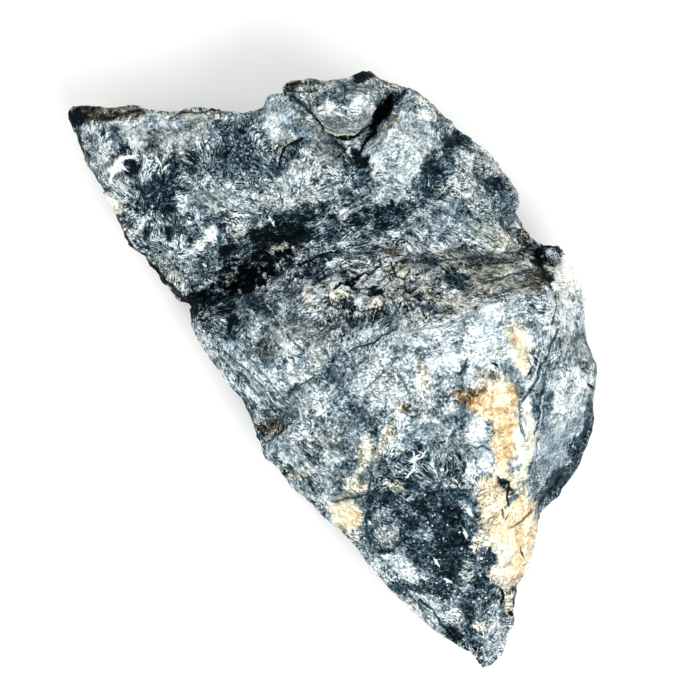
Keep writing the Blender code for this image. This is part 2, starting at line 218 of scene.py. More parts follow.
UPPER_MIDDLE_PATCHES = (
    ("pale", 283, 118, 17, 23, 0), ("white", 276, 126, 9, 15, 10), ("white", 290, 106, 10, 6, 0),
    ("lavender", 300, 122, 26, 7, -52), ("grey", 320, 146, 24, 8, -50), ("slate", 310, 140, 20, 4, -50),
    ("warm grey", 282, 143, 12, 4, 10), ("navy", 297, 151, 11, 10, 0), ("navy", 268, 172, 24, 9, -10),
    ("sage", 312, 164, 20, 12, 0), ("sage", 297, 192, 28, 23, 0), ("pale", 298, 184, 18, 9, 0),
    # Umber at (305, 84) is painted shade on the top rim.
    ("white", 262, 193, 20, 3, 6), ("grey", 336, 112, 46, 24, 0), ("umber", 305, 84, 20, 4, 5),
    ("slate", 340, 100, 24, 8, -5), ("white", 328, 111, 13, 9, 0), ("white", 361, 105, 14, 8, 0),
    ("slate", 345, 99, 6, 3, 80), ("sage", 346, 129, 24, 5, 0), ("black", 366, 78, 11, 5, 0),
    ("warm grey", 390, 84, 14, 5, -15), ("pale", 403, 152, 46, 42, -40), ("white", 412, 117, 14, 5, 0),
    ("sage", 408, 150, 20, 12, 0), ("frost", 398, 160, 28, 26, -40), ("pale", 400, 180, 26, 13, -10),
    # Brown at (391, 123) is a painted shadow beside the crack.
    ("brown", 391, 123, 9, 4, 40), ("navy", 384, 110, 20, 9, 62), ("black", 382, 115, 9, 5, 50),
    ("navy", 398, 97, 11, 6, 20), ("ink", 401, 97, 6, 3, 20), ("white", 351, 143, 12, 6, -25),
    ("grey", 345, 155, 10, 5, -30), ("dusk", 358, 170, 14, 12, 0), ("black", 361, 160, 9, 8, 0),
    ("slate", 347, 188, 22, 14, 0), ("pale", 385, 196, 14, 9, 0), ("navy", 294, 226, 42, 15, 25),
    # Black at (272, 232) is dark mineral with painted shade of the hollow over it.
    ("ink", 308, 216, 26, 6, 28), ("black", 272, 232, 24, 8, 15), ("navy", 348, 230, 48, 20, 20),
    ("slate", 350, 236, 26, 7, 25), ("white", 350, 210, 13, 3, 25), ("pale", 392, 231, 12, 5, 25),
)
UPPER_RIGHT_PATCHES = (
    ("grey", 480, 190, 50, 36, -50), ("navy", 458, 144, 18, 14, 0), ("navy", 440, 170, 22, 15, 50),
    ("navy", 419, 192, 17, 11, 45), ("navy", 396, 214, 24, 12, 25), ("ink", 456, 141, 12, 8, 0),
    ("ink", 436, 172, 14, 9, 50), ("ink", 402, 208, 16, 7, 32), ("white", 441, 155, 4, 2, 60),
    ("pale", 466, 157, 14, 8, -30), ("grey", 497, 166, 22, 8, -50), ("navy", 487, 182, 18, 9, -30),
    ("slate", 505, 202, 14, 10, -50), ("white", 457, 181, 6, 3, -70), ("white", 462, 192, 6, 4, 0),
    ("slate", 462, 226, 42, 18, -25), ("grey", 432, 214, 18, 9, 0), ("slate", 462, 214, 30, 12, -25),
    ("grey", 470, 234, 40, 7, -22), ("lavender", 470, 238, 30, 6, -22), ("white", 478, 243, 14, 3, -20),
    ("pale", 430, 238, 20, 7, -50), ("grey", 470, 254, 46, 7, -4), ("white", 515, 258, 20, 5, 5),
    ("warm grey", 498, 240, 30, 9, -35), ("slate", 438, 224, 24, 8, -25),
    ("umber", 524, 240, 14, 7, -50), ("dusk", 546, 250, 10, 6, -20), ("cream", 425, 106, 14, 2, -40),
)
# In the hollow, black at (246, 274), (268, 254), (292, 236) and (207, 301), and brown and umber from
# (230, 273) to (296, 246), are dark mineral with painted shade of the hollow over it.
TROUGH_PATCHES = (
    ("black", 246, 274, 32, 17, 12), ("black", 268, 254, 24, 15, 20), ("black", 292, 236, 30, 9, 10),
    ("brown", 279, 245, 12, 4, 10), ("umber", 296, 246, 8, 3, 10), ("brown", 252, 258, 8, 4, 20),
    ("slate", 264, 263, 8, 3, 30), ("slate", 286, 262, 11, 4, 20), ("grey", 240, 263, 7, 3, 40),
    ("grey", 263, 284, 7, 3, 10), ("slate", 276, 276, 10, 4, -20),
    ("slate", 222, 288, 9, 4, 20), ("slate", 316, 252, 12, 5, 20), ("ink", 322, 262, 12, 5, 25),
    ("black", 207, 301, 22, 14, 12), ("brown", 230, 273, 8, 4, 0), ("dusk", 212, 278, 10, 6, 20),
    ("ink", 228, 302, 32, 11, 8), ("navy", 252, 306, 26, 14, 0), ("pale", 262, 314, 16, 4, -30),
    ("slate", 240, 300, 12, 4, 60), ("white", 285, 311, 7, 4, -50), ("grey", 392, 286, 44, 26, 0),
    ("sage", 340, 294, 44, 18, 8), ("frost", 324, 288, 24, 13, 0), ("sage", 322, 279, 14, 5, 0),
    ("cream", 308, 292, 8, 5, 20), ("white", 322, 287, 7, 4, -30), ("white", 362, 262, 9, 8, 0),
    ("white", 366, 280, 17, 21, 0), ("white", 363, 278, 8, 6, 0), ("white", 364, 298, 10, 8, 60),
    ("cream", 342, 296, 9, 6, -20), ("white", 331, 262, 10, 4, 25), ("black", 377, 291, 7, 4, 0),
    ("black", 350, 283, 6, 3, 30), ("dusk", 350, 305, 12, 6, 0), ("dusk", 300, 268, 22, 9, 8),
    ("dusk", 380, 262, 8, 4, 0), ("brown", 392, 251, 15, 4, 0), ("cream", 401, 268, 9, 8, 0),
    ("white", 397, 264, 4, 5, 0), ("cream", 376, 302, 7, 5, 0), ("warm grey", 500, 274, 56, 18, -2),
    ("warm grey", 470, 262, 30, 6, 0), ("grey", 525, 272, 16, 5, -10), ("umber", 535, 280, 14, 8, 0),
    ("navy", 455, 276, 13, 9, -20), ("warm grey", 447, 303, 40, 12, -18),
    ("dusk", 430, 302, 18, 6, -30), ("pale", 446, 288, 10, 4, 0), ("brown", 480, 300, 14, 8, -40),
    ("navy", 360, 320, 12, 6, 0), ("dusk", 386, 312, 14, 6, 0), ("grey", 312, 328, 24, 12, 0),
    ("warm grey", 410, 316, 22, 6, 18), ("umber", 541, 263, 22, 7, -70),
    ("black", 540, 257, 12, 4, -70), ("black", 548, 280, 12, 3, -60), ("grey", 546, 252, 6, 4, -20),
)
LOWER_LEFT_PATCHES = (
    ("lavender", 240, 362, 52, 28, -42), ("dusk", 232, 326, 24, 12, 0), ("black", 232, 322, 9, 4, 85),
    ("grey", 300, 345, 34, 20, -40), ("grey", 262, 345, 20, 8, -38), ("white", 282, 337, 15, 4, -52),
    ("white", 283, 306, 8, 3, -50), ("white", 265, 366, 9, 4, -60), ("white", 207, 337, 8, 5, -30),
    ("pale", 222, 368, 26, 6, -52), ("pale", 250, 374, 30, 4, -46), ("slate", 256, 392, 28, 6, -46),
    ("pale", 262, 400, 24, 4, -46), ("slate", 308, 356, 11, 8, 0), ("pale", 300, 372, 18, 9, -40),
    ("slate", 344, 384, 25, 27, 0), ("dusk", 350, 383, 11, 6, 0), ("dusk", 352, 352, 16, 6, 0),
    ("pale", 315, 396, 20, 11, 30), ("white", 322, 409, 8, 5, 50), ("slate", 277, 418, 22, 12, 40),
    # Brown at (268, 424) and dusk at (262, 436) are painted shade in a small notch of the rim.
    ("brown", 268, 424, 14, 8, 42), ("dusk", 262, 436, 9, 6, 35), ("lavender", 285, 448, 20, 14, -30),
    ("pale", 300, 458, 22, 9, -30), ("grey", 330, 430, 16, 14, 0), ("white", 282, 457, 10, 5, -20),
    ("black", 283, 470, 5, 3, 0), ("warm grey", 298, 474, 13, 5, 0), ("pale", 327, 464, 24, 5, 88),
    ("white", 338, 456, 10, 4, 0), ("dusk", 350, 459, 5, 4, 0), ("sage", 340, 472, 11, 7, 0),
    ("cream", 357, 481, 11, 9, 0), ("white", 326, 495, 13, 8, 0), ("cream", 347, 510, 20, 15, -35),
    ("sand", 350, 513, 14, 10, -35), ("sage", 352, 536, 12, 8, -45),
)
LOWER_FACE_PATCHES = (
    ("pale", 420, 366, 80, 54, 0), ("frost", 410, 376, 40, 26, 0), ("frost", 445, 356, 66, 36, 10),
    # White at (425, 338) is a painted highlight along the crest of the lower face's ridge.
    ("frost", 505, 326, 52, 34, 0), ("white", 425, 338, 40, 8, 15), ("pale", 518, 308, 38, 11, 20),
    ("slate", 387, 322, 14, 6, 0), ("pale", 535, 322, 16, 22, 0), ("pale", 445, 384, 20, 22, 0),
    ("grey", 395, 377, 10, 9, 0), ("cream", 421, 372, 16, 5, 88), ("lavender", 405, 350, 18, 8, 0),
    ("grey", 464, 364, 5, 7, 0), ("grey", 420, 404, 20, 10, 0), ("lavender", 418, 430, 22, 16, 0),
    ("navy", 421, 444, 10, 4, 0), ("cream", 365, 452, 18, 7, 80), ("dusk", 376, 428, 7, 4, 0),
    ("cream", 386, 436, 22, 6, 66), ("white", 396, 443, 7, 7, 0), ("cream", 401, 402, 7, 6, 0),
    # White and bright at (568, 278) are a whitish mineral, lightened further as painted light on the
    # face that faces the light.
    ("olive", 405, 406, 4, 4, 0), ("white", 568, 278, 20, 30, 0), ("bright", 570, 280, 18, 28, 0),
    ("white", 568, 310, 20, 22, -60), ("grey", 571, 342, 18, 9, -60), ("grey", 560, 336, 18, 6, -75),
    ("white", 568, 379, 24, 15, 0), ("white", 572, 376, 14, 8, 0), ("slate", 541, 382, 32, 5, 72),
    ("pale", 568, 414, 24, 30, 0), ("frost", 566, 400, 14, 9, 0), ("white", 556, 400, 6, 9, 0),
    ("slate", 541, 428, 8, 6, 80), ("lavender", 556, 450, 24, 24, 45), ("slate", 552, 486, 12, 9, 45),
    ("lavender", 578, 424, 18, 9, 70), ("navy", 590, 414, 18, 8, 85), ("navy", 581, 444, 22, 12, 62),
    ("navy", 564, 472, 22, 12, 48), ("ink", 590, 436, 16, 5, 72), ("ink", 573, 468, 16, 5, 50),
    ("navy", 550, 491, 15, 9, 48), ("warm grey", 514, 322, 15, 7, 0), ("cream", 519, 344, 22, 11, -60),
    ("sand", 516, 337, 9, 6, -60), ("cream", 523, 358, 16, 6, -75), ("sand", 523, 358, 9, 4, -75),
    ("slate", 513, 383, 7, 4, -60), ("warm grey", 488, 374, 18, 9, 0), ("sand", 492, 388, 15, 10, 0),
    ("olive", 470, 394, 13, 9, 0), ("rust", 480, 402, 9, 9, 0), ("tan", 484, 404, 14, 9, 70),
    ("olive", 476, 388, 9, 4, 30), ("sand", 503, 428, 48, 13, 87), ("tan", 502, 424, 40, 8, 87),
    ("tan", 500, 404, 16, 9, 80), ("bright", 523, 432, 42, 9, 88), ("cream", 526, 444, 34, 5, 88),
    ("white", 473, 426, 15, 9, 70), ("slate", 458, 413, 8, 6, 0), ("pale", 476, 456, 26, 13, 80),
    ("frost", 482, 468, 18, 10, 80), ("white", 468, 470, 10, 9, 0), ("dusk", 418, 466, 40, 16, 0),
    ("navy", 410, 472, 30, 8, 10), ("slate", 445, 468, 12, 7, 0), ("cream", 393, 481, 8, 6, 0),
    ("slate", 398, 466, 10, 6, 0), ("sand", 507, 526, 28, 54, 0), ("buff", 488, 498, 12, 24, 0),
    ("cream", 520, 478, 14, 10, 80), ("ink", 503, 481, 4, 5, 30), ("slate", 508, 492, 3, 7, 0),
    ("cream", 498, 556, 18, 11, 80), ("navy", 430, 540, 56, 54, 0), ("ink", 446, 502, 30, 17, 0),
    ("ink", 446, 530, 20, 22, 0), ("ink", 450, 562, 14, 16, 0), ("navy", 384, 505, 15, 24, 0),
    ("ink", 383, 491, 12, 5, 0), ("slate", 383, 509, 13, 8, 0), ("sage", 387, 531, 12, 8, -20),
    ("slate", 468, 506, 9, 12, 0), ("slate", 420, 530, 14, 7, 0), ("dusk", 404, 546, 14, 6, 0),
    ("white", 401, 562, 23, 11, -38), ("pale", 382, 566, 14, 9, -40), ("ink", 420, 588, 34, 8, -8),
    ("pale", 436, 608, 32, 13, -42), ("sage", 420, 606, 22, 8, -42), ("pale", 414, 600, 12, 5, -42),
    ("slate", 450, 600, 8, 12, -45), ("cream", 482, 538, 12, 10, 60), ("sage", 468, 565, 7, 9, 0),
    ("ink", 489, 552, 7, 11, 0), ("navy", 482, 584, 9, 16, 0), ("ink", 487, 577, 7, 8, 0),
    ("cream", 507, 588, 9, 18, 0), ("umber", 513, 604, 4, 9, 0), ("pale", 494, 614, 7, 15, 0),
    ("navy", 474, 602, 13, 12, 0), ("navy", 468, 636, 9, 16, 0), ("white", 500, 628, 5, 16, 0),
    ("cream", 477, 619, 6, 5, 0), ("navy", 462, 628, 12, 10, -40), ("black", 455, 632, 8, 8, 0),
    ("pale", 498, 638, 10, 16, -10), ("navy", 474, 646, 12, 10, -45), ("slate", 486, 658, 10, 8, 0),
)
PATCHES = (
    UPPER_SLAB_PATCHES + UPPER_MIDDLE_PATCHES + UPPER_RIGHT_PATCHES + TROUGH_PATCHES
    + LOWER_LEFT_PATCHES + LOWER_FACE_PATCHES
)

# Cracks, edges, veins and single long fibres, and lines of painted shade and painted highlight along
# rims, steps and ridges: mineral, half width on the chart, depth in millimetres and chart places. A
# vein or a fibre stands a little proud, so its depth is negative.
LINES = (
    # Painted shadow: the navy line from (291, 96) to (352, 162) is shade at the foot of the raised
    # block's left side.
    ("navy", 1.0, 0.30, ((291, 96), (300, 103), (315, 119), (329, 135), (343, 150), (352, 162))),
    ("black", 0.8, 0.30, ((317, 122), (330, 135), (348, 138), (360, 135), (372, 127))),
    ("cream", 1.0, -0.10, ((326, 131), (340, 135), (356, 134))),
    ("umber", 0.6, 0.15, ((287, 92), (300, 93), (318, 91))),
    ("black", 1.0, 0.30, ((362, 152), (364, 143), (375, 131))),
    ("black", 0.5, 0.10, ((345, 86), (347, 93), (345, 100))),
    ("black", 1.2, 0.50, ((392, 96), (386, 106), (381, 118), (373, 128))),
    ("bright", 2.2, -0.12, ((137, 155), (126, 157), (119, 162), (116, 172), (112, 181))),
    ("bright", 1.0, -0.08, ((118, 165), (125, 164), (129, 168))),
    # Painted shade: the brown and umber lines from (101, 186) to (190, 301) darken the left rim.
    ("brown", 1.2, 0.20, ((101, 186), (110, 204), (121, 222), (131, 243))),
    ("umber", 2.2, 0.30, ((126, 232), (135, 248), (153, 262), (160, 271), (176, 288), (190, 301))),
    # Painted shade: the umber lines from (92, 117) to (143, 110) and from (184, 111) to (226, 107)
    # darken the top rim.
    ("umber", 0.9, 0.30, ((92, 117), (110, 116), (128, 113), (143, 110))),
    ("umber", 1.0, 0.20, ((226, 107), (205, 112), (184, 111))),
    ("black", 0.9, 0.20, ((303, 139), (292, 144), (285, 149), (283, 158))),
    ("black", 1.0, 0.40, ((336, 285), (346, 281), (355, 276), (363, 272))),
    ("dusk", 0.6, 0.05, ((407, 260), (430, 259), (455, 258), (480, 255), (510, 251), (532, 250))),
    ("umber", 0.5, 0.10, ((455, 268), (480, 262), (505, 259), (530, 258))),
    ("umber", 0.4, 0.08, ((470, 285), (495, 276), (520, 270), (540, 266))),
    ("umber", 0.4, 0.08, ((480, 297), (500, 290), (522, 284), (545, 278))),
    ("black", 1.1, 0.35, ((538, 246), (536, 252), (541, 257), (539, 263), (544, 269), (543, 274))),
    ("black", 0.7, 0.30, ((543, 274), (549, 279), (550, 285), (555, 290))),
    ("umber", 1.0, 0.20, ((538, 246), (546, 243), (556, 246))),
    ("dusk", 0.6, 0.12, ((555, 290), (555, 304), (550, 320))),
    # Painted highlight: the white line from (551, 322) to (519, 397) lightens the crest of the right
    # ridge.
    ("white", 0.7, -0.02, ((551, 322), (544, 334), (539, 348), (536, 366), (528, 380), (519, 397))),
    ("navy", 1.1, 0.10, ((521, 398), (528, 388), (536, 374), (542, 360), (547, 345), (555, 328))),
    ("navy", 0.6, 0.06, ((533, 430), (538, 410), (540, 390), (544, 372))),
    ("white", 0.6, -0.03, ((542, 392), (539, 414), (537, 428))),
    ("slate", 0.6, 0.20, ((518, 398), (519, 420), (524, 436))),
    ("cream", 0.8, -0.10, ((521, 405), (524, 425), (532, 445))),
    # Painted highlight: the pale line from (396, 331) to (500, 298) lightens the crest of the lower
    # face's ridge.
    ("pale", 1.0, -0.15, ((396, 331), (425, 326), (450, 322), (468, 316), (484, 303), (500, 298))),
    # Painted shadow: the navy line from (352, 347) to (396, 326) is shade under a small ledge.
    ("navy", 0.8, 0.15, ((352, 347), (360, 344), (374, 340), (382, 332), (396, 326))),
    ("brown", 0.5, 0.06, ((368, 384), (378, 374), (388, 366), (397, 355))),
    ("slate", 0.7, 0.20, ((400, 372), (405, 380), (409, 390))),
    ("navy", 0.9, 0.12, ((466, 357), (464, 364), (459, 371))),
    ("black", 0.9, 0.20, ((492, 360), (495, 362))),
    ("black", 0.9, 0.25, ((529, 366), (527, 371))),
    ("navy", 0.6, 0.10, ((468, 441), (476, 444), (482, 441), (488, 445))),
    ("navy", 0.8, 0.15, ((372, 470), (370, 482), (372, 498), (367, 512), (367, 528), (370, 538))),
    ("bright", 1.1, -0.03, ((408, 472), (412, 467), (414, 462), (415, 455), (421, 454), (424, 449))),
    ("bright", 0.7, -0.03, ((411, 457), (415, 455), (414, 450))),
    ("bright", 0.7, -0.03, ((421, 448), (424, 450), (426, 447))),
    ("white", 0.7, -0.03, ((452, 424), (448, 431), (446, 438))),
    ("umber", 0.5, 0.10, ((336, 497), (350, 494), (362, 493), (369, 489))),
    ("dusk", 0.6, 0.15, ((292, 389), (302, 382), (314, 375))),
    ("warm grey", 1.0, -0.05, ((293, 394), (304, 386), (315, 378))),
    # Painted shade: the umber line from (262, 442) to (290, 418) darkens the small notch in the rim.
    ("umber", 0.5, 0.20, ((262, 442), (272, 436), (282, 425), (290, 418))),
    ("black", 0.9, 0.15, ((497, 474), (501, 479), (507, 477), (509, 484), (506, 491), (508, 499))),
    ("dusk", 0.8, 0.08, ((502, 505), (503, 512))),
    ("black", 0.6, 0.08, ((505, 515), (508, 510))),
    ("olive", 0.9, 0.10, ((511, 523), (520, 518), (528, 510), (533, 506))),
    ("umber", 0.8, 0.15, ((521, 545), (523, 551))),
    ("navy", 0.8, 0.30, ((420, 596), (432, 606), (440, 618), (452, 628))),
    ("dusk", 0.8, 0.25, ((408, 590), (418, 600), (426, 612))),
    ("white", 0.7, -0.10, ((489, 602), (494, 612), (498, 626))),
    ("black", 1.0, 0.30, ((501, 585), (504, 592), (502, 598))),
    ("dusk", 0.7, 0.06, ((226, 348), (244, 364), (262, 382), (284, 400))),
    ("dusk", 0.5, 0.05, ((214, 344), (236, 368), (256, 388))),
    ("dusk", 0.5, 0.05, ((240, 344), (258, 362), (274, 382), (288, 400))),
    ("white", 0.5, -0.04, ((222, 350), (240, 368), (258, 386))),
    ("white", 0.5, -0.04, ((234, 378), (250, 392), (262, 402))),
    ("white", 0.9, -0.04, ((273, 322), (281, 333), (290, 351))),
    ("white", 0.6, -0.04, ((270, 304), (279, 316), (288, 330))),
    ("pale", 0.5, -0.04, ((268, 316), (276, 328), (283, 342))),
    ("navy", 0.6, 0.06, ((268, 304), (280, 320), (292, 336), (304, 348))),
    # Dark mineral with painted shade of the hollow over it: the black lines from (258, 236) to (305,
    # 230) and from (262, 250) to (292, 248).
    ("black", 0.9, 0.30, ((258, 236), (272, 234), (290, 236), (305, 230))),
    ("black", 0.9, 0.30, ((262, 250), (278, 252), (292, 248))),
    ("umber", 0.9, 0.25, ((350, 268), (358, 272), (370, 271), (379, 265))),
    ("black", 0.9, 0.25, ((353, 286), (366, 288), (377, 284))),
    ("dusk", 0.8, 0.20, ((352, 294), (352, 305), (362, 309), (374, 306))),
    ("umber", 0.8, 0.20, ((330, 300), (338, 306), (350, 303))),
    ("dusk", 0.7, 0.20, ((384, 292), (392, 296), (396, 304))),
    ("umber", 0.7, 0.20, ((392, 262), (396, 274), (404, 277), (410, 270))),
    ("umber", 0.7, 0.20, ((398, 286), (410, 288), (420, 282))),
    ("dusk", 0.6, 0.15, ((414, 300), (424, 304), (434, 300))),
    # Dark mineral with painted shade of the trough over it: the black line from (300, 262) to (338,
    # 250).
    ("black", 0.8, 0.20, ((300, 262), (312, 258), (326, 252), (338, 250))),
    ("bright", 1.9, -0.03, ((469, 507), (471, 510))),
    ("bright", 2.2, -0.03, ((464, 527), (466, 531))),
    ("bright", 1.7, -0.03, ((436, 556), (438, 559))),
    ("bright", 1.7, -0.03, ((447, 575), (450, 577))),
    ("bright", 1.0, -0.03, ((369, 517), (371, 519))),
    ("bright", 1.0, -0.03, ((482, 624), (484, 632))),
    ("bright", 1.2, -0.05, ((160, 158), (163, 163))),
    ("bright", 0.9, -0.03, ((273, 217), (275, 220))),
    ("black", 1.3, 0.15, ((589, 382), (591, 384))),
    ("pale", 0.35, -0.03, ((420, 196), (450, 210), (480, 228), (510, 240))),
    ("pale", 0.35, -0.03, ((436, 200), (466, 216), (500, 232))),
    ("dusk", 0.35, 0.05, ((428, 202), (460, 220), (492, 238))),
    ("dusk", 0.35, 0.05, ((470, 200), (490, 214), (512, 232))),
    ("bright", 0.8, -0.08, ((464, 238), (478, 242), (492, 247))),
    ("pale", 0.7, -0.10, ((344, 214), (352, 210), (362, 206))),
    ("pale", 0.7, -0.10, ((243, 197), (262, 194), (282, 190))),
)

# Fans of fibres: chart place, reach, how far back their root is and the way they run from it.
FANS = (
    (156, 196, 36, 0, 0), (182, 246, 22, 0, 0), (205, 172, 20, 0, 0), (222, 206, 28, 50, -45),
    (245, 150, 22, 0, 0), (215, 135, 18, 0, 0), (96, 142, 20, 30, 70), (165, 128, 22, 0, 0),
    (184, 272, 26, 45, -85), (212, 308, 20, 30, 15), (256, 306, 26, 36, -30), (460, 226, 56, 120, -28),
    (510, 246, 28, 120, -20), (500, 180, 28, 90, -48), (500, 275, 50, 110, 8), (440, 300, 30, 60, -35),
    (360, 230, 46, 100, 27), (310, 225, 30, 70, 30), (440, 148, 22, 0, 0), (425, 186, 16, 0, 0),
    (396, 214, 20, 40, 40), (300, 188, 24, 0, 0), (350, 180, 16, 0, 0), (400, 160, 26, 60, 20),
    (335, 105, 20, 0, 0), (285, 118, 18, 20, 60), (318, 138, 20, 60, -50), (390, 285, 14, 0, 0),
    (365, 275, 12, 0, 0), (335, 292, 14, 0, 0), (246, 366, 44, 120, -45), (275, 325, 20, 60, -50),
    (300, 355, 24, 90, -42), (300, 445, 24, 40, -50), (335, 350, 18, 0, 0), (330, 398, 15, 0, 0),
    (352, 430, 18, 40, 50), (312, 472, 17, 30, -45), (440, 330, 24, 60, 20), (490, 325, 22, 50, 10),
    (430, 390, 16, 0, 0), (462, 370, 15, 0, 0), (400, 430, 18, 40, 65), (450, 430, 14, 0, 0),
    (480, 462, 15, 50, 80), (566, 330, 26, 90, -75), (560, 400, 26, 70, -60), (566, 455, 22, 50, 55),
    (440, 530, 22, 0, 0), (398, 520, 14, 0, 0), (512, 390, 30, 90, -88), (508, 450, 32, 90, -88),
    (510, 520, 32, 90, -95), (430, 602, 22, 60, -45), (480, 590, 14, 0, 0), (482, 642, 18, 50, -60),
    (350, 508, 16, 0, 0),
)


def linear(hex_colour):
    """Turns an sRGB hex value into linear colour with full opacity."""
    channels = [int(hex_colour[i:i + 2], 16) / 255 for i in (1, 3, 5)]
    return [c / 12.92 if c <= 0.04045 else ((c + 0.055) / 1.055) ** 2.4 for c in channels] + [1.0]


def colour_property(name, description, hex_colour):
    """A colour that a user can change."""
    return bpy.props.FloatVectorProperty(
        name=name, description=description, default=linear(hex_colour), size=4, min=0.0, max=1.0,
        subtype="COLOR",
    )


class ReliefSettings(bpy.types.PropertyGroup):
    """Sizes of the fine relief, in metres."""

    chip_size: bpy.props.FloatProperty(
        name="Chip size", description="Width of the small tilted breaks", default=2.6 * MM,
        unit="LENGTH", precision=5,
    )
    chip_height: bpy.props.FloatProperty(
        name="Chip height", description="Height of the small tilted breaks", default=0.42 * MM,
        unit="LENGTH", precision=5,
    )
    splinter_size: bpy.props.FloatProperty(
        name="Splinter size", description="Width of the smallest breaks", default=1.1 * MM,
        unit="LENGTH", precision=5,
    )
    splinter_height: bpy.props.FloatProperty(
        name="Splinter height", description="Height of the smallest breaks", default=0.18 * MM,
        unit="LENGTH", precision=5,
    )
    fibre_height: bpy.props.FloatProperty(
        name="Fibre height", description="Height of the fibre bundles", default=0.10 * MM,
        unit="LENGTH", precision=5,
    )


class MineralColours(bpy.types.PropertyGroup):
    """Colours of the minerals from their darkest to their lightest."""

    cold_black: colour_property("Cold black", "Darkest of the blue minerals", "#010a11")
    cold_navy: colour_property("Navy", "Dark blue mineral", "#152b37")
    cold_dusk: colour_property("Dusk", "Shaded blue mineral", "#3f5560")
    cold_slate: colour_property("Slate", "Middle of the blue minerals", "#778993")
    cold_pale: colour_property("Pale blue", "Light blue-grey fibres", "#afbec5")
    cold_white: colour_property("White", "Lightest fibres", "#f0f8fa")
    warm_black: colour_property("Warm black", "Darkest of the brown minerals", "#060504")
    warm_umber: colour_property("Umber", "Dark brown mineral", "#2c2921")
    warm_brown: colour_property("Brown", "Shaded brown mineral", "#565142")
    warm_grey: colour_property("Warm grey", "Middle of the brown minerals", "#8c8a77")
    warm_cream: colour_property("Cream", "Light cream mineral", "#ccc9ae")
    warm_white: colour_property("Warm white", "Lightest cream mineral", "#fbf8e6")
    rust_black: colour_property("Rusty black", "Soil in the deepest cracks", "#140d06")
    rust_dark: colour_property("Dark rust", "Thickest iron stain", "#4a3418")
    rust_brown: colour_property("Brown rust", "Thick iron stain", "#84602f")
    rust_middle: colour_property("Rust", "Iron stain", "#b98b55")
    rust_pale: colour_property("Pale rust", "Thin iron stain", "#dfc08c")
    rust_white: colour_property("Rusty white", "Faintest iron stain", "#f7e9c4")


class StageSettings(bpy.types.PropertyGroup):
    """Floor, lights and camera."""

    floor_colour: colour_property("Floor", "Colour of the plain floor", "#fafaf8")
    key_power: bpy.props.FloatProperty(
        name="Key light", description="Power of the main soft light", default=4.5, unit="POWER",
    )
    fill_power: bpy.props.FloatProperty(
        name="Fill light", description="Power of the soft light opposite", default=2.5, unit="POWER",
    )
    sky_strength: bpy.props.FloatProperty(
        name="Sky", description="Strength of the even light from all round", default=0.75,
    )
    lens: bpy.props.FloatProperty(
        name="Lens", description="Focal length", default=600.0, unit="CAMERA",
    )


def chart(u, v):
    """Turns a place on the chart into millimetres across and along the fragment."""
    return np.array([(u - CHART_ORIGIN[0]) * CHART_SQUARE, (CHART_ORIGIN[1] - v) * CHART_SQUARE])


def select_only(obj):
    """Makes one object the only one selected, and the active one."""
    bpy.ops.object.select_all(action="DESELECT")
    obj.select_set(True)
    bpy.context.view_layer.objects.active = obj


def split_long_edges(obj, longest):
    """Divides the edges that are longer than a length, in edit mode, and keeps triangles.

    An edge of a sliver is left alone, because the halves of a sliver can fold over its neighbour.
    """
    bpy.ops.object.mode_set(mode="EDIT")
    bpy.ops.mesh.select_mode(type="EDGE")
    # Each round halves the long edges, and 8 rounds are more than the longest one needs.
    for _ in range(8):
        bpy.ops.mesh.select_all(action="DESELECT")
        bm = bmesh.from_edit_mesh(obj.data)
        long_edges = [
            edge for edge in bm.edges
            if edge.calc_length() > longest
            and min(face.calc_area() for face in edge.link_faces) > SLIVER_AREA
        ]
        for edge in long_edges:
            edge.select_set(True)
        if not long_edges:
            break
        bmesh.update_edit_mesh(obj.data)
        bpy.ops.mesh.subdivide(number_cuts=1)
        bpy.ops.mesh.select_all(action="SELECT")
        bpy.ops.mesh.quads_convert_to_tris(quad_method="BEAUTY", ngon_method="BEAUTY")
    bpy.ops.object.mode_set(mode="OBJECT")


def bulges(mesh, points, normals, rounds):
    """How far each point stands out from the surface around it, in millimetres."""
    edges = np.empty(2 * len(mesh.edges), dtype=int)
    mesh.edges.foreach_get("vertices", edges)
    first, last = edges.reshape(-1, 2).T
    shares = np.bincount(np.concatenate((first, last)), minlength=len(points))[:, None]
    smooth = points
    for _ in range(rounds):
        total = np.stack([
            np.bincount(first, smooth[last, axis], len(points))
            + np.bincount(last, smooth[first, axis], len(points))
            for axis in range(3)
        ], axis=1)
        smooth = 0.5 * smooth + 0.5 * total / shares
    return np.einsum("ij,ij->i", points - smooth, normals)


def read_vectors(mesh, attribute):
    """Reads one vector for each point of a mesh."""
    values = np.empty(3 * len(mesh.vertices))
    mesh.vertices.foreach_get(attribute, values)
    return values.reshape(-1, 3)


def wander(points, size, reach, shift):
    """A smooth wandering vector for each point."""
    across = Vector((shift, 0, 0))
    along = Vector((0, shift, 0))
    rows = [Vector(p) / size for p in points]
    waves = [(noise.noise(p + across), noise.noise(p + along), noise.noise(p)) for p in rows]
    return reach * np.array(waves)


